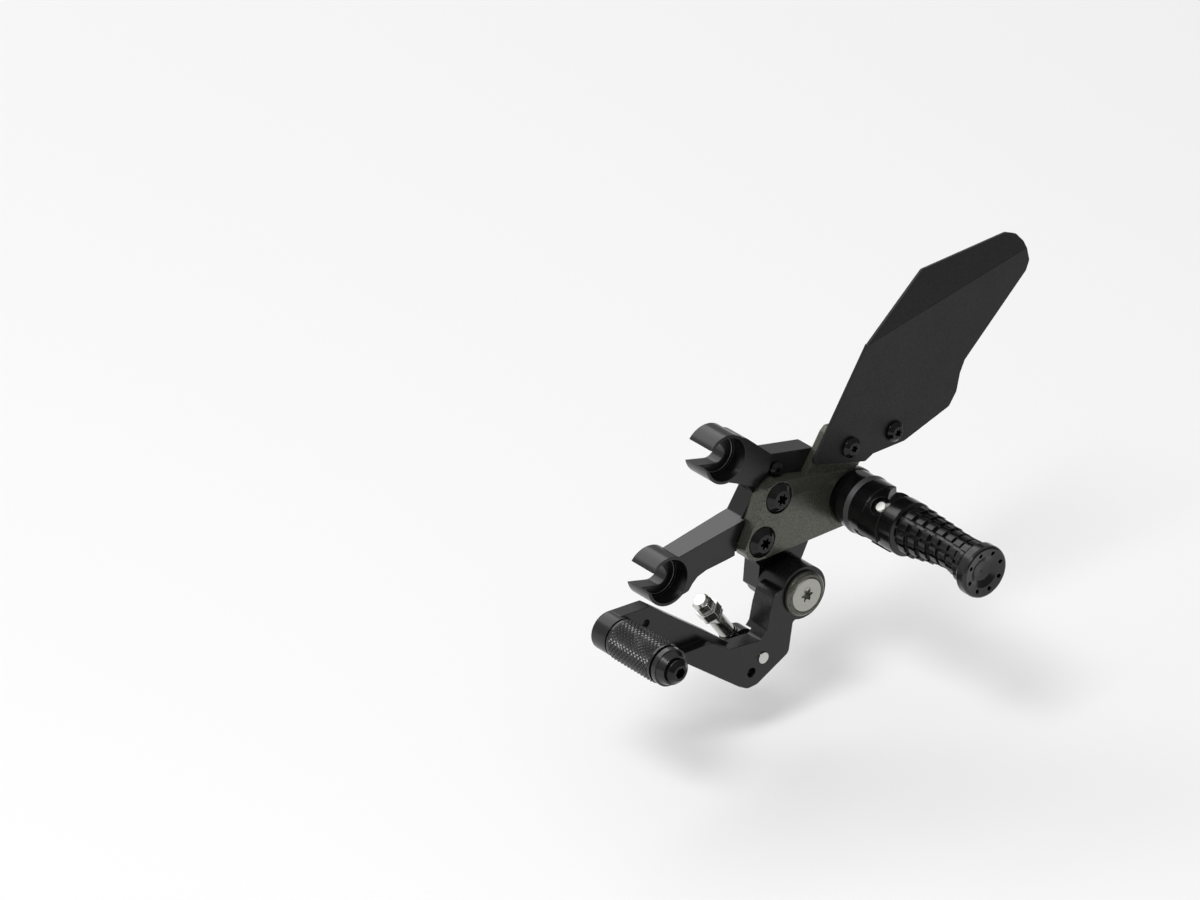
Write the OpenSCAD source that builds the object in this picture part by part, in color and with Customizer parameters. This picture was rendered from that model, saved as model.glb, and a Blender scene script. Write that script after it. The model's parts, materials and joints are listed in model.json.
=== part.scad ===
// Rear set footrest for a motorcycle, gear shift side: bracket with two open claws, adapter
// plate, heel guard, folding footpeg, shift lever with toe peg and rod end.
// Frame: +X to the rear of the bike, -Y outboard, +Z up, millimetres.
// The origin is the centre of the upper claw slot on the face that meets the bike's frame.

/* [Bracket] */
// Outer radius of both claws
claw_r = 12.8; // [12:0.1:16]
// Half width of the claw slots that take the mounting screws
slot_r = 5.35; // [5.1:0.05:6]
// Radius of the counterbore in the outboard face of each claw
cbore_r = 11.3; // [10:0.1:12]
// Depth of that counterbore
cbore_depth = 8.5; // [6:0.5:10]
// Thickness of the claws and arms
arm_t = 16.5; // [14:0.5:18]
// Outboard face of the centre block that carries the adapter plate
block_t = 13.5; // [11:0.5:14]
// How far the claws stand proud of the block on the frame side
pad_t = 2; // [1:0.5:4]
// Distance from the upper claw back to the shift pivot
pivot_x = 36; // [32:0.5:40]
// Drop from the upper claw down to the shift pivot
pivot_drop = 78; // [74:0.5:82]
// Upward turn of the slot mouths from straight ahead, degrees
slot_turn = 13; // [0:1:20]
// Distance between the two claws, fore and aft
claw_dx = 35.4; // [32:0.1:38]
// Distance between the two claws, up and down
claw_dz = 54.7; // [52:0.1:58]

/* [Adapter plate] */
// Thickness of the adapter plate
plate_t = 9; // [8:0.5:11]
// Footpeg axis, back from the shift pivot
peg_x = 43; // [38:0.5:48]
// Footpeg axis, up from the shift pivot
peg_z = 32.7; // [30:0.1:36]
// Radius of the plate's round end under the footpeg
plate_end_r = 15; // [13:0.5:16]
// Head radius of the two plate bolts
bolt_head_r = 7.6; // [6.5:0.1:8.5]

/* [Heel guard] */
// Thickness of the heel guard sheet
guard_t = 1.8; // [1.5:0.1:3]
// Height of the guard's top edge above the shift pivot
guard_top = 147.4; // [145:0.2:156]
// Inboard lean of the guard's top flange, degrees
guard_bend = 12; // [5:1:20]
// Head radius of the guard screws
guard_head_r = 5.3; // [4.5:0.1:6]

/* [Footpeg] */
// Radius of the clevis barrel
barrel_r = 14.7; // [14:0.1:15.2]
// Height of the peg's ribs above the grooves between them
rib_h = 1.7; // [1:0.1:2.2]
// Peg radius at its end
tip_r = 13.5; // [13:0.1:14.5]
// Length of the ribbed peg from its hinge pin to its end
peg_len = 69; // [69:1:72]
// Tilt of the hinge pin's front end above level, degrees
hinge_tilt = 50; // [40:1:55]
// Radius of the hinge pin
hinge_r = 3; // [2.5:0.1:4]

/* [Shift lever] */
// Radius of the lever hub
hub_r = 14; // [13:0.1:16]
// Toe peg axis, forward from the pivot
toe_x = 110.2; // [104:0.2:116]
// Toe peg axis, up from the pivot
toe_z = 10.7; // [6:0.1:14]
// Outer radius of the knurled toe sleeve
toe_r = 10; // [9:0.1:12]
// Length of the knurled toe sleeve
toe_len = 32.7; // [25:0.1:40]
// Width of the lever hub along its pivot
hub_w = 17.9; // [15:0.1:22]
// Rod end stud, forward from the pivot
rod_x = 25; // [22:0.5:28]
// Rod end stud, below the pivot
rod_drop = 27.4; // [24:0.2:30]
// Direction of the rod end's shank, degrees up from level
rod_angle = 127; // [115:1:140]

/* [Hidden] */
$fn = 48;
// radial gap of the running fits
run = 0.05;
// flat gap between turning faces
side = 0.3;
claw_web = arm_t - cbore_depth;
root_r = barrel_r - 0.3;
plate_d0 = block_t;
plate_d1 = plate_d0 + plate_t;
ear_d1 = plate_d0 + 4.2;
guard_d1 = ear_d1 + guard_t;
fold_d = guard_d1 - guard_t / 2;
peg_d0 = plate_d1 - 6;
ring_d0 = peg_d0 + 11.4;
ring_d1 = ring_d0 + 3;
hinge_d = ring_d1 + 17;
clevis_d1 = hinge_d + 4.4;
ear_step = hinge_d - 7.6;
hub_d0 = block_t + side;
hub_d1 = hub_d0 + hub_w;
sleeve_d1 = hub_d1 + side;
toe_d0 = arm_t + 1.3;
toe_d1 = toe_d0 + 8;
outer_d0 = hub_d1 - 9.6;
boss_d1 = toe_d1 + 2.4;
toe_s0 = boss_d1 + 1;
toe_s1 = toe_s0 + toe_len;
eye_d0 = block_t - 6;
eye_d1 = eye_d0 + 8;
eye_mid = (eye_d0 + eye_d1) / 2;
axle_r = 6;
bush_r = 8;
stud_r = 4;
toe_axle_r = 3.9;
rod_r = 3;
tongue_t = 7;
tongue_gap = 0.3;
tongue_r = 13.4;
collar_z = 4.8;
fold_max = 45;
bolt_seat = 2.5;

black_c = [0.17, 0.17, 0.17];
grey_c = [0.36, 0.36, 0.32];
steel_c = [0.72, 0.72, 0.70];
dark_c = [0.10, 0.10, 0.10];

// Which node to draw, or "all"

// Helpers

// moves pivot based drawings into the part's frame
module at_pivot() {
  translate([pivot_x, 0, -pivot_drop])
    children();
}

// stands a side view profile between two outboard distances
module slab(d0, d1) {
  translate([0, -d0, 0])
    rotate([90, 0, 0])
      linear_extrude(d1 - d0)
        children();
}

// a round bar along Y at side view position x, z
module bar(x, z, r, d0, d1, n = 48) {
  translate([x, -d0, z])
    rotate([90, 0, 0])
      cylinder(r = r, h = d1 - d0, $fn = n);
}

// a cone along Y, r0 at d0 and r1 at d1
module cone(x, z, r0, r1, d0, d1) {
  translate([x, -d0, z])
    rotate([90, 0, 0])
      cylinder(r1 = r0, r2 = r1, h = d1 - d0);
}

// a six lobed driver recess cut to a depth below outboard distance d
module star_cut(x, z, r, d, deep) {
  translate([x, -d - 0.01, z])
    rotate([-90, 0, 0])
      union() {
        for (a = [0, 30])
          rotate([0, 0, a])
            cylinder(r = r, h = deep, $fn = 6);
      }
}

// a button head with star drive and a plain shank along Y
module button_bolt(x, z, head_r, head_h, shank_r, d0, dh) {
  difference() {
    union() {
      bar(x, z, shank_r, d0, dh + 0.1);
      bar(x, z, head_r, dh, dh + head_h * 0.45);
      cone(x, z, head_r, head_r * 0.62, dh + head_h * 0.45, dh + head_h);
    }
    star_cut(x, z, head_r * 0.42, dh + head_h, head_h * 0.65);
  }
}

// Bracket

claw_a = [-pivot_x, pivot_drop];
claw_b = [-pivot_x - claw_dx, pivot_drop - claw_dz];

module claw_slot_2d(c, r) {
  translate(c) {
    circle(r = r);
    rotate(-slot_turn)
      translate([-40, -r])
        square([40, 2 * r]);
  }
}

module arms_2d() {
  offset(r = 1.5, $fn = 24)
    offset(delta = -1.5)
      polygon([[claw_a[0] + 8.5, claw_a[1] + 9.5], [-23.7, 85.6], [-6.2, 70.4], [-8, 66],
               [-12, 59.5], [-17, 50], [-22, 41], [-24.5, 36], [-27.5, 30], [-28, 24.5],
               [-36.1, 23.4], [-48.5, 22], [-53.7, 20.2], [-56.9, 17.5],
               [-59.4, 14.2], [claw_b[0] + 5, claw_b[1] - 10.5],
               [claw_b[0], claw_b[1] + 10.4], [-22.6, 42.1],
               [-19.5, 45.1], [-17.5, 50.9], [-17, 56.5], [-27.8, 62.2], [-36, 65.8]]);
}

module block_2d() {
  offset(r = 1.2, $fn = 24)
    offset(delta = -1.2)
      polygon([[-24, 85.6], [-6.2, 70.4], [21.8, 65.2], [13.5, 52], [21, 38], [18.5, 16],
               [12, 3], [4, -12], [-4, -11], [-13.6, -1.5], [-12.6, 11], [-22, 23.5],
               [-29, 24.4], [-33, 38], [-24, 41.8], [-17, 52.4], [-22, 60]]);
}

module claw_bracket() {
  color(black_c)
    at_pivot()
      difference() {
        union() {
          // claws
          slab(0, arm_t)
            for (c = [claw_a, claw_b])
              translate(c)
                circle(r = claw_r);
          // arms, the lower one thinner toward its claw
          difference() {
            slab(pad_t, arm_t)
              arms_2d();
            translate([-68, -pad_t - 2.1, 15])
              rotate([0, 0, 3])
                cube([52, 6, 30]);
          }
          slab(pad_t, block_t)
            union() {
              block_2d();
              circle(r = hub_r - 2.4);
            }
        }
        // slots for the mounting screws
        slab(-1, arm_t + 1)
          claw_slot_2d(claw_a, slot_r);
        slab(-1, arm_t + 1)
          claw_slot_2d(claw_b, slot_r);
        for (c = [claw_a, claw_b]) {
          bar(c[0], c[1], cbore_r, claw_web, arm_t + 1);
        }
        // holes for the plate bolts, the lever axle, the small screw and the guard
        bar(-8.1, 50.7, stud_r, -1, block_t + 1);
        bar(-18.4, 29.9, stud_r, -1, arm_t + 1);
        bar(0, 0, stud_r, -1, block_t + 1);
        bar(-3.4, 61.5, 2.5, block_t - 8, block_t + 1);
        // flat seat of the adapter plate
        slab(block_t, arm_t + 1)
          polygon([[-7, 75], [-9.5, 64], [-16, 59.5], [-30.6, 29.5], [-31, 17], [40, 17],
                   [40, 75]]);
      }
}

// Adapter plate

module plate_2d() {
  union() {
    offset(r = 2.5, $fn = 24)
      offset(delta = -2.5)
        polygon([[-8.6, 59.6], [-14.8, 57.6], [-29, 29.2], [-28.6, 26.5], [-26.6, 22.8],
                 [-22.5, 20.6],
                 [peg_x, peg_z - plate_end_r], [peg_x + 9, peg_z],
                 [peg_x + 1, peg_z + plate_end_r + 0.3]]);
    translate([peg_x, peg_z])
      circle(r = plate_end_r);
  }
}

// takes off everything outboard of a plane that lies a * x + b * z + g below the face
module face_cut(a, b, g) {
  translate([0, -plate_d1 + g, 0])
    rotate([-asin(b / norm([a, 1, b])), 0, atan(a)])
      translate([-80, -20, -60])
        cube([200, 20, 180]);
}

module ear_2d() {
  polygon([[-5, 55], [12, 54], [24.4, 73.6], [27, 75.8], [31, 75.5], [72, 68.5], [73, 57], [52, 55],
           [46, 50.5], [44, 44], [-5, 48]]);
}

module adapter_plate() {
  color(grey_c)
    at_pivot()
      difference() {
        union() {
          difference() {
            slab(plate_d0, plate_d1)
              plate_2d();
            // long face that falls away toward the footpeg
            face_cut(0.114, -0.063, 3.18);
            // upper face that falls away less and leans back
            face_cut(0.117, 0.03, -1.34);
          }
          slab(plate_d0, ear_d1)
            ear_2d();
        }
        for (p = [[-8.1, 50.7], [-18.4, 29.9]]) {
          bar(p[0], p[1], bolt_head_r + 0.6, plate_d1 - bolt_seat, plate_d1 + 4);
          bar(p[0], p[1], stud_r, plate_d0 - 1, plate_d1);
        }
        bar(peg_x, peg_z, stud_r + run, plate_d0 - 1, plate_d1 + 1);
        bar(peg_x, peg_z, plate_end_r + 2, peg_d0, plate_d1 + 4);
        bar(-3.4, 61.5, 4.3, plate_d0 - 1, plate_d0 + 3.2);
        bar(38.8, 62.4, 3, plate_d0 - 1, ear_d1 + 1);
        bar(66.7, 62.3, 3, plate_d0 - 1, ear_d1 + 1);
      }
}

module plate_bolt_upper() {
  color(dark_c)
    at_pivot()
      button_bolt(-8.1, 50.7, bolt_head_r, 5, stud_r - 0.05, pad_t + 1, plate_d1 - bolt_seat);
}

module plate_bolt_lower() {
  color(dark_c)
    at_pivot()
      button_bolt(-18.4, 29.9, bolt_head_r, 5, stud_r - 0.05, pad_t + 1, plate_d1 - bolt_seat);
}

module block_screw() {
  color(dark_c)
    at_pivot()
      button_bolt(-3.4, 61.5, 3.8, 2.6, 2.45, block_t - 7, block_t);
}

// Heel guard

fold_a = 12.5;

// everything above the fold line
module above_fold_2d() {
  translate([54.7, 115.6])
    rotate([0, 0, fold_a])
      translate([-60, 0])
        square([220, 80]);
}

module guard_lower_2d() {
  difference() {
    offset(r = 2, $fn = 24)
      offset(delta = -2)
        polygon([[15, 60], [49, 114.6], [60, 150], [149, 150], [150.2, 136.8], [152, 129.5],
                 [150, 124.4], [111.5, 87.3], [108.6, 81], [106.5, 71.5], [101.9, 64.8], [73.4, 54.8],
                 [53.5, 54], [48.6, 51.4]]);
    above_fold_2d();
    translate([38.8, 62.4])
      circle(r = 3.05);
    translate([66.7, 62.3])
      circle(r = 3.05);
  }
}

module guard_upper_2d() {
  intersection() {
    offset(r = 2, $fn = 24)
      offset(delta = -2)
        polygon(flange_pts);
    above_fold_2d();
  }
}

flange_pts = [[44, 106], [50, 115], [86.4, guard_top - 4.8], [138.8, guard_top],
              [144.5, guard_top - 2.1], [148.6, guard_top - 7], [150.1, 136.6], [149, 118]];

// turns the top flange about the fold, half way through the sheet
module folded() {
  translate([54.7, -fold_d, 115.6])
    rotate([0, -fold_a, 0])
      rotate([-guard_bend, 0, 0])
        rotate([0, fold_a, 0])
          translate([-54.7, fold_d, -115.6])
            children();
}

module heel_guard() {
  color(black_c)
    at_pivot() {
      slab(ear_d1, guard_d1)
        guard_lower_2d();
      folded()
        slab(ear_d1, guard_d1)
          guard_upper_2d();
    }
}

module guard_screw_front() {
  color(dark_c)
    at_pivot()
      button_bolt(38.8, 62.4, guard_head_r, 3.3, 2.95, plate_d0 - 1, guard_d1);
}

module guard_screw_rear() {
  color(dark_c)
    at_pivot()
      button_bolt(66.7, 62.3, guard_head_r, 3.3, 2.95, plate_d0 - 1, guard_d1);
}

// Footpeg

// puts children on the peg axis, +Z outboard, with the hinge pin along local X
module on_peg(d) {
  at_pivot()
    translate([peg_x, -d, peg_z])
      rotate([90, 0, 0])
        rotate([0, 0, -hinge_tilt])
          children();
}

slot_w = tongue_t + 2 * tongue_gap + 3.4;
slot_x0 = -tongue_t / 2 - tongue_gap;
pin_x1 = barrel_r + 1.6;

module peg_root() {
  color(black_c)
    difference() {
      union() {
        on_peg(peg_d0)
          cylinder(r = root_r, h = ring_d0 - peg_d0);
        on_peg(ring_d0 - 1)
          cylinder(r = barrel_r - 1.4, h = ring_d1 - ring_d0 + 2);
        on_peg(ring_d1)
          cylinder(r = barrel_r, h = ear_step - ring_d1);
        // thinner ears outboard of the shoulder, fuller on their underside
        on_peg(ear_step - 1)
          cylinder(r = barrel_r - 0.5, h = clevis_d1 - ear_step + 1);
        on_peg(ear_step - 2)
          translate([0, -1.5, 0])
            cylinder(r = barrel_r - 0.7, h = clevis_d1 - ear_step + 1.9);
      }
      // slanted cut that lets the peg fold up and back
      on_peg(hinge_d)
        rotate([-fold_max, 0, 0])
          translate([-20, -2, 4.3])
            cube([40, 40, 20]);
      // slot for the peg's tongue and the spring
      on_peg(hinge_d - tongue_r - 0.6)
        translate([slot_x0, -20, 0])
          cube([slot_w, 40, 40]);
      // hinge pin bore
      on_peg(hinge_d)
        rotate([0, 90, 0])
          translate([0, 0, -20])
            cylinder(r = hinge_r + 0.02, h = 40);
      // head recess at the front end
      on_peg(hinge_d)
        rotate([0, -90, 0])
          translate([0, 0, barrel_r - 3.8])
            cylinder(r = 5, h = 10);
      // flat spot for the split pin at the rear end
      on_peg(hinge_d)
        rotate([0, 90, 0])
          translate([0, 0, barrel_r - 1.8])
            cylinder(r = 7.8, h = 10);
      // bolt socket from the frame side
      on_peg(peg_d0 - 1)
        cylinder(r = stud_r - 0.05, h = 13);
    }
}

module peg_root_ring() {
  color(grey_c)
    on_peg(ring_d0)
      difference() {
        cylinder(r1 = barrel_r + 0.6, r2 = barrel_r - 0.1, h = ring_d1 - ring_d0);
        translate([0, 0, -1])
          cylinder(r = barrel_r - 1.4, h = 6);
      }
}

module peg_root_bolt() {
  color(dark_c)
    at_pivot()
      difference() {
        union() {
          bar(peg_x, peg_z, 6.8, plate_d0 - 5, plate_d0);
          bar(peg_x, peg_z, stud_r - 0.05, plate_d0 - 1, peg_d0 + 11.9);
        }
        bar(peg_x, peg_z, 3.2, plate_d0 - 6, plate_d0 - 2, 6);
      }
}

module hinge_pin() {
  color(steel_c)
    on_peg(hinge_d)
      difference() {
        union() {
          rotate([0, 90, 0])
            translate([0, 0, -barrel_r + 3.4])
              cylinder(r = hinge_r, h = pin_x1 + barrel_r - 3.4);
          rotate([0, -90, 0])
            translate([0, 0, barrel_r - 3.8])
              cylinder(r1 = 4.6, r2 = 2.6, h = 2.4);
        }
        // cross hole of the split pin
        translate([barrel_r, 0, -10])
          cylinder(r = 0.8, h = 20);
      }
}

module split_pin() {
  color(steel_c)
    on_peg(hinge_d)
      translate([barrel_r, 0, 0])
        union() {
          translate([0, 0, -4])
            cylinder(r = 0.78, h = 8.6, $fn = 16);
          translate([0, 0, -5.4])
            rotate([0, 90, 0])
              translate([0, 0, -0.7])
                difference() {
                  cylinder(r = 1.9, h = 1.4);
                  translate([0, 0, -1])
                    cylinder(r = 0.8, h = 4);
                }
          translate([0, 0, 4.4])
            rotate([50, 0, 0])
              cylinder(r = 0.6, h = 5.5, $fn = 16);
        }
}

// return spring beside the tongue, drawn as closed rings with one leg out below
spring_x = tongue_t / 2 + tongue_gap + 0.25;
wire_r = 0.72;
coil_r = 3.88;

module peg_spring() {
  color(steel_c)
    on_peg(hinge_d)
      union() {
        for (i = [0 : 1])
          translate([spring_x + wire_r + i * 1.4, 0, 0])
            rotate([0, 90, 0])
              rotate_extrude()
                translate([coil_r, 0])
                  circle(r = wire_r, $fn = 16);
        translate([spring_x + wire_r + 1.4, -coil_r, 0])
          rotate([110, 0, 0])
            cylinder(r = wire_r, h = 9.5, $fn = 16);
        translate([spring_x + wire_r, 0, -coil_r])
          rotate([-90, 0, 0])
            cylinder(r = wire_r, h = 3, $fn = 16);
      }
}

// ribs, each with its own radius and its own offset toward the fold side
rib_z = [16.7, 23.3, 29.9, 36.5, 43.1, 49.7, 56.3];
rib_r = [12.8, 11.9, 11.1, 10.3, 9.9, 10.3, 11.3];
rib_e = [0.7, 1.1, 1.5, 1.9, 1.8, 1.3, 0.5];
rib_w = 4.7;
rib_pitch = 6.6;

module rib_2d(r) {
  difference() {
    circle(r = r);
    for (a = [0 : 30 : 330])
      rotate(a)
        translate([r - rib_h + 0.1, -0.9])
          square([4, 1.8]);
  }
}

module foot_peg() {
  color(black_c)
    on_peg(hinge_d)
      difference() {
        union() {
          // tongue between the clevis ears
          translate([-tongue_t / 2, 0, 0])
            rotate([0, 90, 0])
              cylinder(r = tongue_r, h = tongue_t);
          // collar
          translate([0, 0, collar_z])
            cylinder(r = barrel_r - 0.7, h = 8.4);
          translate([0, 0.3, collar_z + 8.4])
            cylinder(r1 = barrel_r - 1.1, r2 = rib_r[0] - rib_h, h = 1.2);
          translate([0, rib_e[0], collar_z + 8.4])
            cylinder(r = rib_r[0] - rib_h, h = 6);
          // ribs and the core between them
          for (i = [0 : len(rib_z) - 1])
            translate([0, rib_e[i], rib_z[i]]) {
              linear_extrude(rib_w)
                rib_2d(rib_r[i]);
              cylinder(r = rib_r[i] - rib_h, h = rib_pitch);
            }
          // end cap, dished in its face
          translate([0, -0.4, 0])
            rotate_extrude($fn = 64)
              polygon([[0, 60], [tip_r - 2.4, 60], [tip_r - 0.4, 62.4], [tip_r, 63],
                       [tip_r, peg_len - 1.6], [tip_r - 0.4, peg_len - 0.5],
                       [tip_r - 1.2, peg_len], [8.2, peg_len - 0.9], [5, peg_len - 2.6],
                       [0, peg_len - 3.4]]);
        }
        // hinge bore
        rotate([0, 90, 0])
          translate([0, 0, -20])
            cylinder(r = hinge_r + run, h = 40);
        // rim holes of the dished end
        for (a = [0 : 45 : 315])
          translate([0, -0.4, 0])
            rotate([0, 0, a + 22])
              translate([tip_r - 3.5, 0, peg_len - 4])
                cylinder(r = 1.1, h = 7, $fn = 16);
      }
}

// Shift lever

module lever_outer_2d() {
  offset(r = -2, $fn = 24)
    offset(delta = 2)
      union() {
        circle(r = hub_r);
        offset(r = 4, $fn = 24)
          offset(delta = -4)
            polygon([[-13, 8], [-18.3, 3.5], [-20.6, -4], [-22.5, -13], [-26.5, -17.5],
                     [-45.1, -15.9], [-57.6, -8.6], [-81, -8.6], [-75, -12.9], [-40, -38.5],
                     [-34.5, -41.5], [-28.5, -41], [-8.8, -30], [-6.3, -14], [-4, -6]]);
        // long tip behind the toe peg
        polygon([[-57.6, -8.6], [-78, -8.6], [-79.2, -9.8], [-60, -23.87], [-50, -20]]);
      }
}

module lever_inner_2d() {
  offset(r = 2, $fn = 24)
    offset(delta = -2)
      polygon([[-toe_x + 2, toe_z - 10.3], [-toe_x - 9, toe_z], [-toe_x + 1, toe_z + 10],
               [-90.6, toe_z + 9.5], [-53.4, -7], [-36, -20.8], [-30, -30],
               [-28.5, -41], [-34.5, -41.5], [-40, -38.5], [-78.4, -10.1]]);
}

module shift_lever() {
  color(black_c)
    at_pivot()
      difference() {
        union() {
          slab(hub_d0, hub_d1)
            difference() {
              circle(r = hub_r);
              circle(r = bush_r);
            }
          slab(outer_d0, hub_d1)
            difference() {
              lever_outer_2d();
              circle(r = hub_r - 1);
            }
          // deep neck under the hub
          slab(hub_d0 + 4, outer_d0)
            difference() {
              intersection() {
                lever_outer_2d();
                translate([-40, -23])
                  square([60, 40]);
              }
              circle(r = hub_r - 1);
              translate([-rod_x, -rod_drop])
                circle(r = 12);
              translate([-60, -30])
                square([35, 25]);
            }
          slab(toe_d0, toe_d1)
            lever_inner_2d();
          bar(-toe_x, toe_z, toe_r, toe_d0, boss_d1);
        }
        // room for the rod end on the frame side
        bar(-rod_x, -rod_drop, 12, hub_d0, outer_d0);
        // threaded holes for the rod stud and the second stud place
        bar(-rod_x, -rod_drop, rod_r, 0, 60);
        bar(-32.1, -33.3, 2.6, 0, 60);
        bar(-toe_x + 17.2, toe_z + 0.9, 2.2, 0, 60);
        bar(-toe_x, toe_z, toe_axle_r, 0, 60);
      }
}

module hub_bush_outer() {
  color(steel_c)
    at_pivot()
      slab(hub_d1 - 7, hub_d1)
        difference() {
          circle(r = bush_r);
          circle(r = axle_r + run);
        }
}

module hub_bush_inner() {
  color(steel_c)
    at_pivot()
      slab(hub_d0, hub_d0 + 7)
        difference() {
          circle(r = bush_r);
          circle(r = axle_r + run);
        }
}

module pivot_sleeve() {
  color(steel_c)
    at_pivot()
      slab(block_t, sleeve_d1)
        difference() {
          circle(r = axle_r);
          circle(r = stud_r);
        }
}

module pivot_ring() {
  color(grey_c)
    at_pivot()
      difference() {
        union() {
          bar(0, 0, 11.7, sleeve_d1, sleeve_d1 + 1.4);
          cone(0, 0, 11.7, 10.4, sleeve_d1 + 1.4, sleeve_d1 + 2.6);
        }
        bar(0, 0, stud_r, sleeve_d1 - 1, sleeve_d1 + 4);
        bar(0, 0, 9.1, sleeve_d1 + 1.2, sleeve_d1 + 4);
      }
}

module pivot_bolt() {
  color(steel_c)
    at_pivot()
      difference() {
        union() {
          bar(0, 0, stud_r - 0.05, 0.5, sleeve_d1 + 1.3);
          bar(0, 0, 9, sleeve_d1 + 1.2, sleeve_d1 + 2.4);
          cone(0, 0, 9, 8.5, sleeve_d1 + 2.4, sleeve_d1 + 2.9);
        }
        star_cut(0, 0, 3.6, sleeve_d1 + 2.9, 2.6);
      }
}

// Toe peg

module toe_bolt() {
  color(dark_c)
    at_pivot()
      difference() {
        union() {
          bar(-toe_x, toe_z, toe_axle_r - 0.05, toe_d0 + 1, toe_s1 + 9);
          bar(-toe_x, toe_z, 6.2, toe_s1 + 7.2, toe_s1 + 9.6);
          cone(-toe_x, toe_z, 6.2, 4, toe_s1 + 9.6, toe_s1 + 11.6);
        }
        bar(-toe_x, toe_z, 2.9, toe_s1 + 8.2, toe_s1 + 13, 6);
      }
}

module toe_sleeve() {
  color(black_c)
    at_pivot()
      difference() {
        bar(-toe_x, toe_z, toe_r, toe_s0, toe_s1);
        bar(-toe_x, toe_z, toe_axle_r + run, toe_s0 - 1, toe_s1 + 1);
      }
}

module toe_collar() {
  color(black_c)
    at_pivot()
      difference() {
        union() {
          bar(-toe_x, toe_z, toe_r - 0.3, toe_s1 + 1.2, toe_s1 + 4.2);
          cone(-toe_x, toe_z, toe_r - 1, toe_r - 2.6, toe_s1 + 4.2, toe_s1 + 8);
        }
        bar(-toe_x, toe_z, toe_axle_r, toe_s1, toe_s1 + 12);
        bar(-toe_x, toe_z, 6.4, toe_s1 + 7.2, toe_s1 + 12);
      }
}

module toe_washer_inner() {
  color(dark_c)
    at_pivot()
      difference() {
        bar(-toe_x, toe_z, toe_r - 1.4, boss_d1, toe_s0 - side);
        bar(-toe_x, toe_z, toe_axle_r, boss_d1 - 1, toe_s0 + 1);
      }
}

module toe_washer_outer() {
  color(dark_c)
    at_pivot()
      difference() {
        bar(-toe_x, toe_z, toe_r - 1.4, toe_s1 + side, toe_s1 + 1.2);
        bar(-toe_x, toe_z, toe_axle_r, toe_s1, toe_s1 + 2);
      }
}

// Rod end

module at_rod() {
  at_pivot()
    translate([-rod_x, 0, -rod_drop])
      children();
}

module rod_stud() {
  color(steel_c)
    at_rod()
      union() {
        bar(0, 0, rod_r - 0.05, eye_mid, hub_d1 + 0.8);
        bar(0, 0, 4.2, eye_d1 + 0.4, outer_d0, 6);
        translate([0, -eye_mid, 0])
          sphere(r = 5);
      }
}

// puts children on the rod end's shank, +Z away from the eye
module on_shank(l) {
  at_rod()
    translate([0, -eye_mid, 0])
      rotate([0, 90 - rod_angle, 0])
        rotate([0, 0, 30])
          translate([0, 0, l])
            children();
}

module rod_eye() {
  color(black_c)
    difference() {
      union() {
        at_rod()
          bar(0, 0, 8.6, eye_d0, eye_d1);
        on_shank(6.5)
          cylinder(r = 4.6, h = 4);
      }
      at_rod()
        translate([0, -eye_mid, 0])
          sphere(r = 5 + run);
      at_rod()
        bar(0, 0, 4.3, eye_mid, eye_d1 + 1);
      on_shank(6.4)
        cylinder(r = 3.6, h = 8);
    }
}

module rod_shank() {
  color(steel_c)
    difference() {
      union() {
        on_shank(6.5)
          cylinder(r = 3.55, h = 6.5);
        on_shank(11)
          cylinder(r = 4.2, h = 12.5);
        on_shank(23)
          translate([-3.8, -3.8, 0])
            cube([7.6, 7.6, 4]);
      }
      on_shank(20)
        cylinder(r = 3, h = 10);
    }
}

module rod_jam_nut() {
  color(steel_c)
    on_shank(27)
      difference() {
        cylinder(r = 6.2, h = 5, $fn = 6);
        translate([0, 0, -1])
          cylinder(r = 3, h = 9);
      }
}

module rod_stub() {
  color(steel_c)
    on_shank(20.2)
      union() {
        cylinder(r = 2.95, h = 13);
        translate([0, 0, 12])
          cylinder(r = 4.9, h = 5.4, $fn = 6);
        translate([0, 0, 17.4])
          cylinder(r1 = 4.4, r2 = 3.4, h = 1.6);
      }
}

claw_bracket();
adapter_plate();
plate_bolt_upper();
plate_bolt_lower();
block_screw();
heel_guard();
guard_screw_front();
guard_screw_rear();
peg_root();
peg_root_ring();
peg_root_bolt();
hinge_pin();
split_pin();
peg_spring();
foot_peg();
shift_lever();
hub_bush_outer();
hub_bush_inner();
pivot_sleeve();
pivot_ring();
pivot_bolt();
toe_bolt();
toe_sleeve();
toe_collar();
toe_washer_inner();
toe_washer_outer();
rod_stud();
rod_eye();
rod_shank();
rod_jam_nut();
rod_stub();
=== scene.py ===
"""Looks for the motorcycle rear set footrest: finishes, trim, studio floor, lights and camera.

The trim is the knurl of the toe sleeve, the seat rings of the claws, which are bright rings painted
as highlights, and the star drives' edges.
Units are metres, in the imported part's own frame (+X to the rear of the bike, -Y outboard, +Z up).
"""

import json
import math

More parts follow.
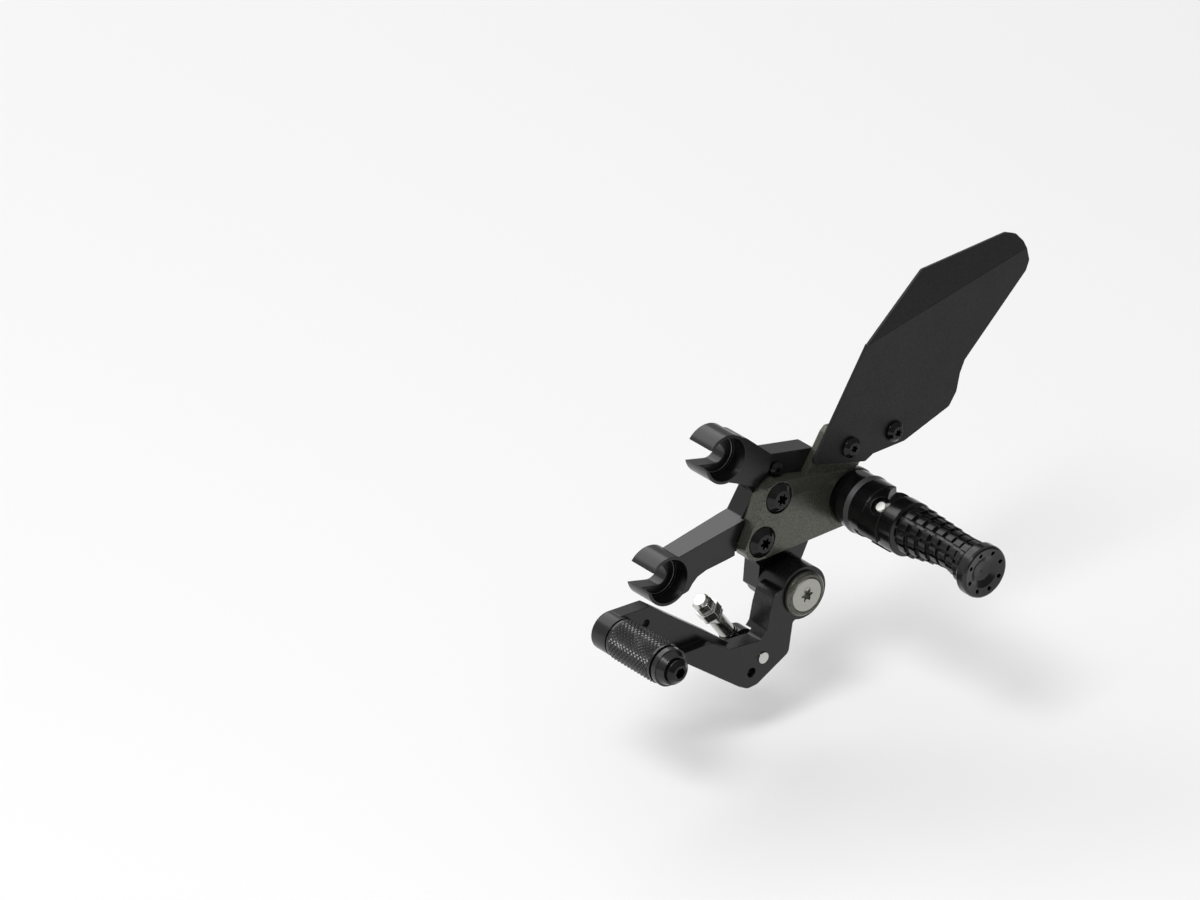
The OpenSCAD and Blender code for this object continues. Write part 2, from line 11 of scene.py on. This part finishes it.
import bpy
import numpy as np
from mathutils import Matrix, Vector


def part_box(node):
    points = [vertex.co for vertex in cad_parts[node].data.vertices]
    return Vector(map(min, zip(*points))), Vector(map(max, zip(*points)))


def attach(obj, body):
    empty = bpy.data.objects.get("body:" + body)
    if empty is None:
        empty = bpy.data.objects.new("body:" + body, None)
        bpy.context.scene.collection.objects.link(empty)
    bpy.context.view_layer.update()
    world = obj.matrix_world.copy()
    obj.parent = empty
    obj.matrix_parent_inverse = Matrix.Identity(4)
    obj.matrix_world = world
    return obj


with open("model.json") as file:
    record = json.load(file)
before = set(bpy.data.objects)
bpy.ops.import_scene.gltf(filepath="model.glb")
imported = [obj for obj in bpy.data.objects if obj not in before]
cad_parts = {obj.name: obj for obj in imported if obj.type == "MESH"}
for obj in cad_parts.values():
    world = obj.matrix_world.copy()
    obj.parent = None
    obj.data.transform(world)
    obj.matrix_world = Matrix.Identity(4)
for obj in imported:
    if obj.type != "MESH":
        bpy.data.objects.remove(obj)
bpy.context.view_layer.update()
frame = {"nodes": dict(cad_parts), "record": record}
nodes = frame["nodes"]

MM = 0.001


def linear(code):
    """Linear colour of a hex sRGB code: c / 12.92 to 0.04045, else ((c + 0.055) / 1.055) ^ 2.4."""
    parts = [int(code[i : i + 2], 16) / 255 for i in (1, 3, 5)]
    return [c / 12.92 if c <= 0.04045 else ((c + 0.055) / 1.055) ** 2.4 for c in parts] + [1.0]


def add_node(tree, kind, settings=None, inputs=(), **values):
    """Adds one shader node and sets its properties and sockets.

    inputs fills the sockets in their order, values fills them by name with underscores for spaces.
    """
    node = tree.nodes.new(kind)
    for key, value in (settings or {}).items():
        setattr(node, key, value)
    named = {key.replace("_", " "): value for key, value in values.items()}
    for key, value in [*enumerate(inputs), *named.items()]:
        if isinstance(value, bpy.types.NodeSocket):
            tree.links.new(value, node.inputs[key])
        else:
            node.inputs[key].default_value = value
    return node


def new_material(name):
    """An empty node material with its output node."""
    mat = bpy.data.materials.new(name)
    mat.use_nodes = True
    mat.node_tree.nodes.clear()
    return mat, mat.node_tree, add_node(mat.node_tree, "ShaderNodeOutputMaterial")


CLOUD_MM = 14  # size of the soft patches of uneven gloss
GRAIN_DEPTH = 0.05 * MM
LATHE_DEPTH = 0.03 * MM


def finish_of(
    name, code, metallic, rough, shine=0.5, grain_mm=0.35, grain=0.12, edge_mm=0.3, fleck=None
):
    """A finish with fine even grain as bump, slightly uneven gloss and a softened edge.

    With fleck given, the colour varies with the grain from code to fleck.
    """
    mat, tree, out = new_material(name)
    coord = add_node(tree, "ShaderNodeTexCoord").outputs["Object"]
    fine = add_node(
        tree,
        "ShaderNodeTexNoise",
        Vector=coord,
        Scale=1 / (grain_mm * MM),
        Detail=2.0,
        Roughness=0.6,
    )
    broad = add_node(
        tree,
        "ShaderNodeTexNoise",
        Vector=coord,
        Scale=1 / (CLOUD_MM * MM),
        Detail=3.0,
        Roughness=0.55,
    )
    gloss = add_node(
        tree,
        "ShaderNodeMapRange",
        Value=broad.outputs["Fac"],
        From_Min=0.3,
        From_Max=0.7,
        To_Min=rough * 0.88,
        To_Max=rough * 1.12,
    )
    soft = add_node(tree, "ShaderNodeBevel", {"samples": 6}, Radius=edge_mm * MM)
    bump = add_node(
        tree,
        "ShaderNodeBump",
        Strength=grain,
        Distance=GRAIN_DEPTH,
        Height=fine.outputs["Fac"],
        Normal=soft.outputs["Normal"],
    )
    shader = add_node(
        tree,
        "ShaderNodeBsdfPrincipled",
        Base_Color=linear(code),
        Metallic=metallic,
        Roughness=gloss.outputs["Result"],
        Specular_IOR_Level=shine,
        Normal=bump.outputs["Normal"],
    )
    if fleck:
        tone = add_node(tree, "ShaderNodeValToRGB", Fac=fine.outputs["Fac"])
        for stop, at, shade in zip(tone.color_ramp.elements, (0.36, 0.64), (code, fleck)):
            stop.position, stop.color = at, linear(shade)
        tree.links.new(tone.outputs["Color"], shader.inputs["Base Color"])
    tree.links.new(shader.outputs["BSDF"], out.inputs["Surface"])
    return mat


def turned(
    name, code, rough, centres, reach_mm, metallic=1.0, shine=0.5, pitch_mm=0.45, depth=0.25
):
    """Lathe marks: fine rings round axes along Y through each centre, out to a reach, as bump."""
    mat, tree, out = new_material(name)
    coord = add_node(tree, "ShaderNodeTexCoord").outputs["Object"]
    normal = add_node(tree, "ShaderNodeBevel", {"samples": 6}, Radius=0.5 * MM).outputs["Normal"]
    grain = add_node(tree, "ShaderNodeTexNoise", Vector=coord, Scale=1 / (0.35 * MM), Detail=2.0)
    normal = add_node(
        tree,
        "ShaderNodeBump",
        Strength=0.1,
        Distance=GRAIN_DEPTH,
        Height=grain.outputs["Fac"],
        Normal=normal,
    ).outputs["Normal"]
    for cx, cz in centres:
        place = add_node(
            tree, "ShaderNodeMapping", Vector=coord, Location=(-cx, 0, -cz), Scale=(1, 0, 1)
        )
        away = add_node(
            tree, "ShaderNodeVectorMath", {"operation": "LENGTH"}, Vector=place.outputs["Vector"]
        )
        turns = 2 * math.pi / (pitch_mm * MM)
        wave = add_node(
            tree, "ShaderNodeMath", {"operation": "MULTIPLY"}, [away.outputs["Value"], turns]
        )
        ripple = add_node(tree, "ShaderNodeMath", {"operation": "SINE"}, [wave.outputs["Value"]])
        inside = add_node(
            tree,
            "ShaderNodeMapRange",
            Value=away.outputs["Value"],
            From_Min=reach_mm * MM,
            From_Max=(reach_mm + 0.5) * MM,
            To_Min=depth,
            To_Max=0.0,
        )
        normal = add_node(
            tree,
            "ShaderNodeBump",
            Strength=inside.outputs["Result"],
            Distance=LATHE_DEPTH,
            Height=ripple.outputs["Value"],
            Normal=normal,
        ).outputs["Normal"]
    shader = add_node(
        tree,
        "ShaderNodeBsdfPrincipled",
        Base_Color=linear(code),
        Metallic=metallic,
        Roughness=rough,
        Specular_IOR_Level=shine,
        Normal=normal,
    )
    tree.links.new(shader.outputs["BSDF"], out.inputs["Surface"])
    return mat


def middle(name):
    """Centre of a node's box."""
    lo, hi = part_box(name)
    return (lo + hi) / 2


pivot = middle("pivot_bolt")

mounts = frame["record"]["mounts"]
claws = [(m["pos_m"][0], m["pos_m"][2]) for m in mounts if m["kind"] == "clamp"]

# black anodised aluminium of the bracket: satin, its counterbore floors with lathe marks
black_milled = turned(
    "black_anodised_milled_aluminium",
    "#0e0e0f",
    0.25,
    claws,
    11.2,
    metallic=0.0,
    shine=0.45,
    pitch_mm=0.7,
    depth=0.3,
)
# the same black anodising on the lever, a little duller, with a blasted grain
black_anodised = finish_of(
    "black_anodised_aluminium", "#0b0b0c", 0.0, 0.27, shine=0.42, grain=0.10, edge_mm=0.55
)
# the same on the turned parts: footpeg and its root, toe sleeve, collar and rod eye, glossier
black_turned = finish_of(
    "black_anodised_turned_aluminium", "#0b0b0c", 0.0, 0.2, shine=0.5, grain=0.05, edge_mm=0.4
)
# the knurl's cut facets: the same black, crisp edges
black_knurled = finish_of(
    "black_anodised_knurled_aluminium", "#0b0b0c", 0.0, 0.26, shine=0.6, grain=0.03, edge_mm=0.03
)
# black powder coating with a coarser, flecked grain on the guard's sheet
guard_coat = finish_of(
    "black_powder_coated_sheet",
    "#0d0d0e",
    0.0,
    0.42,
    shine=0.28,
    grain_mm=0.6,
    grain=0.55,
    edge_mm=0.35,
    fleck="#1e1e1f",
)
# grey green anodised aluminium of the plate and the pivot ring, bead blasted: fine flecks
olive_anodised = finish_of(
    "grey_green_anodised_aluminium",
    "#464640",
    0.7,
    0.3,
    shine=0.4,
    grain_mm=0.6,
    grain=0.4,
    edge_mm=0.45,
    fleck="#66665e",
)
# ring at the footpeg's root: its lighter grey is a painted highlight of the ring's chamfer catching
# the light
root_ring_painted_highlight = finish_of("footpeg_root_ring_painted_highlight", "#5c5c5e", 0.6, 0.35, edge_mm=0.2)
# bright metal ring on the counterbore floors: a painted highlight where the floor's fillet catches
# the light
seat_ring_painted_highlight = finish_of("bright_ring_metal_painted_highlight", "#8e8e8a", 1.0, 0.28, grain=0.03, edge_mm=0.03)
# black oxide on the bolts and screws: darker and a little shinier than the anodised parts
black_oxide = finish_of(
    "black_oxide_steel", "#0a0a0b", 0.0, 0.18, shine=0.32, grain=0.05, edge_mm=0.3
)
# bright plated steel of the rod end's metal, split pin, spring wire and sleeve: slightly hazy
bright_steel = finish_of("bright_plated_steel", "#c9c9c5", 1.0, 0.26, grain=0.03, edge_mm=0.4)
# ground steel of the hinge pin: a little darker, with a wider round edge
pin_steel = finish_of("ground_steel", "#c4c4c0", 1.0, 0.22, grain=0.05, edge_mm=0.6)
# silver anodised pivot bolt with lathe marks on its face
silver_turned = turned(
    "silver_anodised_turned_aluminium", "#a9a9a2", 0.36, [(pivot.x, pivot.z)], 9.2
)
# bearing bronze of the two bushes
bronze = finish_of("bearing_bronze", "#a8844c", 1.0, 0.3)
# black plastic washers
black_plastic = finish_of("black_plastic", "#0c0c0c", 0.0, 0.5, edge_mm=0.1)

finish_for = {
    black_milled: ["claw_bracket"],
    black_anodised: ["shift_lever"],
    black_turned: ["peg_root", "foot_peg", "toe_sleeve", "toe_collar", "rod_eye"],
    guard_coat: ["heel_guard"],
    olive_anodised: ["adapter_plate", "pivot_ring"],
    # the root ring's grey is a painted highlight of its chamfer
    root_ring_painted_highlight: ["peg_root_ring"],
    black_oxide: [
        "plate_bolt_upper",
        "plate_bolt_lower",
        "block_screw",
        "guard_screw_front",
        "guard_screw_rear",
        "peg_root_bolt",
        "toe_bolt",
    ],
    bright_steel: [
        "split_pin",
        "peg_spring",
        "pivot_sleeve",
        "rod_stud",
        "rod_shank",
        "rod_jam_nut",
        "rod_stub",
    ],
    pin_steel: ["hinge_pin"],
    silver_turned: ["pivot_bolt"],
    bronze: ["hub_bush_outer", "hub_bush_inner"],
    black_plastic: ["toe_washer_inner", "toe_washer_outer"],
}
for mat, names in finish_for.items():
    for name in names:
        nodes[name].data.materials.clear()
        nodes[name].data.materials.append(mat)


def grid_piece(name, points, mat, body, wrap_u=True, caps=False, smooth=True):
    """A mesh over a grid of points: columns v close round, rows u close round or end in caps.

    The sign of its volume, the sum of a . (b x c + c x d) over quads a b c d, turns faces outward.
    """
    nu, nv = points.shape[:2]
    a, b = np.meshgrid(np.arange(nu if wrap_u else nu - 1), np.arange(nv), indexing="ij")
    a2, b2 = (a + 1) % nu, (b + 1) % nv
    quads = np.stack([a * nv + b, a2 * nv + b, a2 * nv + b2, a * nv + b2], -1).reshape(-1, 4)
    ends = [np.arange(nv)[::-1], (nu - 1) * nv + np.arange(nv)] if caps else []
    flat = points.reshape(-1, 3)
    corner = flat[quads] - flat.mean(0)
    c0, c1, c2, c3 = corner.transpose(1, 0, 2)
    volume = np.einsum("ij,ij->", c0, np.cross(c1, c2) + np.cross(c2, c3))
    if volume < 0:
        quads, ends = quads[:, ::-1], [end[::-1] for end in ends]
    loops = np.concatenate([quads.reshape(-1)] + ends).astype(np.int32)
    starts = np.concatenate([np.arange(0, quads.size, 4), quads.size + nv * np.arange(len(ends))])
    starts = starts.astype(np.int32)
    mesh = bpy.data.meshes.new(name)
    mesh.vertices.add(nu * nv)
    mesh.vertices.foreach_set("co", flat.reshape(-1))
    mesh.loops.add(len(loops))
    mesh.loops.foreach_set("vertex_index", loops)
    mesh.polygons.add(len(starts))
    mesh.polygons.foreach_set("loop_start", starts)
    mesh.polygons.foreach_set("use_smooth", np.full(len(starts), smooth))
    mesh.update(calc_edges=True)
    mesh.validate()
    mesh.materials.append(mat)
    piece = bpy.data.objects.new(name, mesh)
    bpy.context.scene.collection.objects.link(piece)
    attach(piece, body)


KNURL_PITCH = 2.5 * MM  # coarser than the usual 1.6 mm, so that the diamonds show
KNURL_STEPS = 10  # grid steps in one pitch
KNURL_EDGE = 1.3 * MM  # plain band at each end of the sleeve
KNURL_HEIGHT = 0.65 * MM
KNURL_FADE = 0.4 * MM
KNURL_SINK = 0.02 * MM  # how far its lowest lines lie under the sleeve's surface


def tri(x):
    """Triangle wave: 0 at whole numbers, 1 halfway."""
    return 1 - abs(2 * (x % 1.0) - 1)


def knurl():
    """Diamond knurl on the toe sleeve, over angle u and length v counted in pitches.

    radius = sleeve's radius - sink + height * min(1.15 * tri(u + v), 1.15 * tri(u - v), 0.85),
    with the height fading out at both ends. Two more columns close it 0.5 mm under the surface.
    """
    lo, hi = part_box("toe_sleeve")
    cx, cz = (lo.x + hi.x) / 2, (lo.z + hi.z) / 2
    r0 = (hi.x - lo.x) / 2
    round_n = int(2 * math.pi * r0 / KNURL_PITCH)
    length = hi.y - lo.y - 2 * KNURL_EDGE
    ang = np.linspace(0, 2 * np.pi, round_n * KNURL_STEPS, endpoint=False)
    run = np.linspace(0, length, int(length / KNURL_PITCH * KNURL_STEPS))
    A, L = np.meshgrid(ang, run, indexing="ij")
    u, v = A * round_n / (2 * np.pi), L / KNURL_PITCH
    h = np.minimum(np.minimum(tri(u + v), tri(u - v)) * 1.15, 0.85)
    fade = np.clip(np.minimum(L, length - L) / KNURL_FADE, 0, 1)
    r = r0 - KNURL_SINK + KNURL_HEIGHT * h * fade
    A = np.hstack([A, A[:, :2]])
    r = np.hstack([r, np.full_like(r[:, :2], r0 - 0.5 * MM)])
    L = np.hstack([L, np.full_like(L[:, :1], length), np.zeros_like(L[:, :1])])
    pts = np.stack([cx + r * np.cos(A), lo.y + KNURL_EDGE + L, cz + r * np.sin(A)], -1)
    grid_piece("toe_sleeve_knurl", pts, black_knurled, "toe_roller", smooth=False)


knurl()


SEAT_RING_R = 9.6 * MM
SEAT_BEAD_R = 0.2 * MM
SEAT_FLOOR_Y = -8.0 * MM  # the claws' counterbore floor
MOUTH_ANGLE = math.radians(167)  # the slot mouth's direction, from +X toward +Z
MOUTH_HALF = math.radians(38)


def seat_ring(name, cx, cz):
    """Bright ring on a counterbore floor, a painted highlight of its fillet: a torus arc over angle
    A, open at the slot mouth.

    point = centre + (R + b cos B) (cos A, 0, sin A) + b sin B along Y, ring radius R, bead b.
    """
    ang = MOUTH_ANGLE + np.linspace(MOUTH_HALF, 2 * np.pi - MOUTH_HALF, 96)
    bead = np.linspace(0, 2 * np.pi, 16, endpoint=False)
    A, B = np.meshgrid(ang, bead, indexing="ij")
    r = SEAT_RING_R + SEAT_BEAD_R * np.cos(B)
    y = SEAT_FLOOR_Y + SEAT_BEAD_R * np.sin(B)
    pts = np.stack([cx + r * np.cos(A), y, cz + r * np.sin(A)], -1)
    grid_piece(name, pts, seat_ring_painted_highlight, "bracket", wrap_u=False, caps=True)


# the seat rings are bright painted highlights of the counterbore floors' fillets
seat_ring("upper_seat_ring", *claws[0])
seat_ring("lower_seat_ring", *claws[1])


STAR_DEPTH = 0.9 * MM
STAR_PROUD = 0.02 * MM  # how far its ring stands out of the head's face
STAR_RIM = 1.15  # outer radius of the ring, in hole radii
STAR_TAPER = 0.96  # the hole's size at its foot, against its mouth


def star_drive(node, hole_mm, mat):
    """Six lobed drive edge in a screw head: hole radius = r * (0.8 + 0.2 cos 6 A) over angle A.

    A flat ring from the hole out to STAR_RIM * r, closed STAR_DEPTH below the head's face.
    """
    face_y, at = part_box(node)[0].y, middle(node)
    ang = np.linspace(0, 2 * np.pi, 144, endpoint=False)
    star = hole_mm * (0.8 + 0.2 * np.cos(6 * ang))
    rim = np.full_like(ang, hole_mm * STAR_RIM)
    r = np.stack([rim, star, star * STAR_TAPER, rim], -1) * MM
    y = face_y + np.array([-STAR_PROUD, -STAR_PROUD, STAR_DEPTH, STAR_DEPTH])
    A = ang[:, None]
    pts = np.stack([at.x + r * np.cos(A), np.broadcast_to(y, r.shape), at.z + r * np.sin(A)], -1)
    grid_piece(node + "_star", pts, mat, "bracket", smooth=False)


star_drive("pivot_bolt", 3.6, silver_turned)
for screw, hole_mm in {
    "plate_bolt_upper": 3.2,
    "plate_bolt_lower": 3.2,
    "guard_screw_front": 2.25,
    "guard_screw_rear": 2.25,
    "block_screw": 1.6,
}.items():
    star_drive(screw, hole_mm, black_oxide)


BRIGHT_SIDE = (-0.3, 0.5, 0.8)


def world_light():
    """Soft room: brightest overhead and behind the part, falling off toward the front."""
    world = bpy.data.worlds.new("studio")
    bpy.context.scene.world = world
    world.use_nodes = True
    tree = world.node_tree
    tree.nodes.clear()
    out = add_node(tree, "ShaderNodeOutputWorld")
    way = add_node(tree, "ShaderNodeTexCoord").outputs["Generated"]
    side = add_node(
        tree, "ShaderNodeVectorMath", {"operation": "DOT_PRODUCT"}, [way, BRIGHT_SIDE]
    )
    level = add_node(
        tree,
        "ShaderNodeMapRange",
        {"interpolation_type": "SMOOTHSTEP"},
        Value=side.outputs["Value"],
        From_Min=-0.2,
        From_Max=0.95,
        To_Min=0.2,
        To_Max=0.8,
    )
    glow = add_node(
        tree,
        "ShaderNodeBackground",
        Color=linear("#f7f7f7"),
        Strength=level.outputs["Result"],
    )
    tree.links.new(glow.outputs["Background"], out.inputs["Surface"])


def area(name, place, aim, size, power, size_y=None):
    """A rectangular soft light at place, turned to face aim."""
    data = bpy.data.lights.new(name, "AREA")
    data.shape = "RECTANGLE"
    data.size, data.size_y = size, size_y or size
    data.energy = power
    lamp = bpy.data.objects.new(name, data)
    bpy.context.scene.collection.objects.link(lamp)
    back = np.array(place, float) - np.array(aim, float)
    back /= np.linalg.norm(back)
    side = np.cross([0, 0, 1.0], back)
    side /= np.linalg.norm(side)
    up = np.cross(back, side)
    m = np.eye(4)
    m[:3, 0], m[:3, 1], m[:3, 2], m[:3, 3] = side, up, back, place
    lamp.matrix_world = m.T.tolist()


world_light()
AIM = (0.03, -0.05, -0.05)
area("key", (-1.6, -0.8, 2.4), AIM, 1.0, 40)
area("back", (0.15, 2.3, 2.05), AIM, 3.2, 20, 0.95)

FLOOR_Z = -0.150
FLOOR_LIFT = 0.085  # the floor's own light, for camera, glossy and transmission rays only
FLOOR_HALF = 40


def floor():
    """A plain pale floor far larger than the view."""
    mat, tree, out = new_material("pale_studio_floor")
    seen = add_node(tree, "ShaderNodeLightPath").outputs
    either = {"operation": "MAXIMUM"}
    through = [seen["Is Glossy Ray"], seen["Is Transmission Ray"]]
    mirrored = add_node(tree, "ShaderNodeMath", either, through)
    direct = [seen["Is Camera Ray"], mirrored.outputs["Value"]]
    shown = add_node(tree, "ShaderNodeMath", either, direct)
    lift = add_node(
        tree, "ShaderNodeMath", {"operation": "MULTIPLY"}, [shown.outputs["Value"], FLOOR_LIFT]
    )
    shader = add_node(
        tree,
        "ShaderNodeBsdfPrincipled",
        Base_Color=linear("#f0f0f0"),
        Roughness=1.0,
        Specular_IOR_Level=0.0,
        Emission_Color=linear("#ffffff"),
        Emission_Strength=lift.outputs["Value"],
    )
    tree.links.new(shader.outputs["BSDF"], out.inputs["Surface"])
    mesh = bpy.data.meshes.new("floor")
    w = FLOOR_HALF
    mesh.from_pydata([(-w, -w, 0), (w, -w, 0), (w, w, 0), (-w, w, 0)], [], [(0, 1, 2, 3)])
    mesh.materials.append(mat)
    piece = bpy.data.objects.new("floor", mesh)
    piece.location = (0, 0, FLOOR_Z)
    bpy.context.scene.collection.objects.link(piece)


floor()


PHOTO_W, PHOTO_H = 1200, 900  # pixels
FOCAL = 8000.0  # pixels
PIXELS_PER_MM = 2.05  # at the reference point
REFERENCE = (0.036, -0.011, -0.078)  # on the lever's pivot axis
REFERENCE_X, REFERENCE_Y = 776.1, 576.9  # its place in the photograph, pixels
SENSOR_MM = 36


def camera():
    """Long lens camera: its axes follow azimuth and elevation.

    Its place puts the reference point at its pixel:
    place = reference - (right * dx / focal - up * dy / focal - back) * distance.
    """
    az, el = math.radians(-38.3), math.radians(27.2)
    right = np.array([math.cos(az), math.sin(az), 0])
    up = np.array([-math.sin(az) * math.sin(el), math.cos(az) * math.sin(el), math.cos(el)])
    back = np.array([math.sin(az) * math.cos(el), -math.cos(az) * math.cos(el), math.sin(el)])
    distance = FOCAL / PIXELS_PER_MM * MM
    dx, dy = REFERENCE_X - PHOTO_W / 2, REFERENCE_Y - PHOTO_H / 2
    place = np.array(REFERENCE) - (right * dx / FOCAL - up * dy / FOCAL - back) * distance
    data = bpy.data.cameras.new("camera")
    data.sensor_width = SENSOR_MM
    data.lens = FOCAL / PHOTO_W * SENSOR_MM
    data.clip_start, data.clip_end = 0.1, 60
    cam = bpy.data.objects.new("camera", data)
    m = np.eye(4)
    m[:3, 0], m[:3, 1], m[:3, 2], m[:3, 3] = right, up, back, place
    cam.matrix_world = m.T.tolist()
    bpy.context.scene.collection.objects.link(cam)
    bpy.context.scene.camera = cam


camera()
bpy.context.scene.view_settings.view_transform = "Standard"
